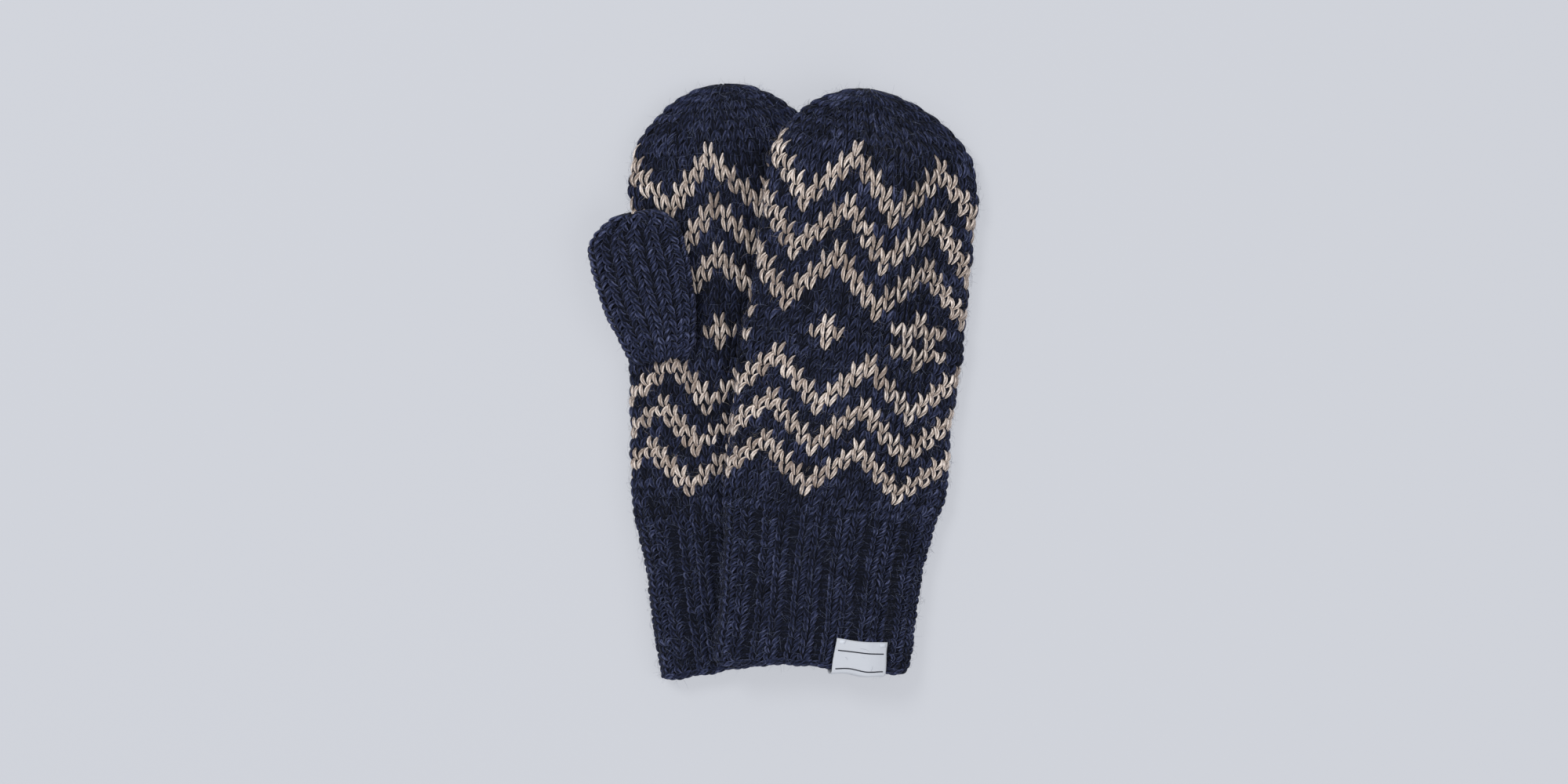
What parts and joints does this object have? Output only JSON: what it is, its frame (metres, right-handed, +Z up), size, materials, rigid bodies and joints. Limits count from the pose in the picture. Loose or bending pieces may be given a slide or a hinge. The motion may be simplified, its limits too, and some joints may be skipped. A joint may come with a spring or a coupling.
{
  "type": "pair of knitted mittens",
  "caption": "Pair of hand-knitted wool mittens with ribbed cuffs and a two-colour zigzag pattern, lying flat with one partly on top of the other.",
  "frame": {"origin": "centre of the pair's footprint on the surface it lies on", "axes": "+X across the pair from the lower mitten to the upper one, +Y from the cuffs to the fingertips, +Z up"},
  "size_m": [0.1762, 0.2768, 0.0352],
  "materials": {
    "navy_wool": "fuzzy plied wool",
    "tan_wool": "fuzzy plied wool",
    "label_cloth": "fine woven tape",
    "pale_thread": "sewing thread"
  },
  "bodies": {
    "left_mitten": {"left_cast_on_edge": "navy_wool", "left_cuff": "navy_wool", "left_hand": "navy_wool", "left_crown": "navy_wool", "left_chevron_1": "tan_wool", "left_chevron_2": "tan_wool", "left_chevron_3": "tan_wool", "left_chevron_4": "tan_wool", "left_chevron_5": "tan_wool", "left_chevron_6": "tan_wool", "left_dot_above": "tan_wool", "left_dot_below": "tan_wool", "left_snowflake_above": "tan_wool", "left_snowflake_below": "tan_wool"},
    "left_thumb": {"left_thumb": "navy_wool"},
    "right_mitten": {"right_cast_on_edge": "navy_wool", "right_cuff": "navy_wool", "right_hand": "navy_wool", "right_crown": "navy_wool", "right_chevron_1": "tan_wool", "right_chevron_2": "tan_wool", "right_chevron_3": "tan_wool", "right_chevron_4": "tan_wool", "right_chevron_5": "tan_wool", "right_chevron_6": "tan_wool", "right_dot_above": "tan_wool", "right_dot_below": "tan_wool", "right_snowflake_above": "tan_wool", "right_label": "label_cloth", "right_label_tack_1": "pale_thread", "right_label_tack_2": "pale_thread"},
    "right_thumb": {"right_thumb": "navy_wool"}
  },
  "joints": [
    {"name": "left_thumb_swing", "type": "hinge", "parent": "left_mitten", "child": "left_thumb", "pos_m": [-0.05945, 0.02021, 0.0126], "axis": [0, 0, 1], "range_deg": [-5, 35]},
    {"name": "right_mitten_lift", "type": "slide", "parent": "left_mitten", "child": "right_mitten", "axis": [0, 0, 1], "range_m": [0, 0.12]},
    {"name": "right_thumb_swing", "type": "hinge", "parent": "right_mitten", "child": "right_thumb", "pos_m": [0.00564, 0.02333, 0.0232], "axis": [0, 0, 1], "range_deg": [-5, 25]}
  ]
}
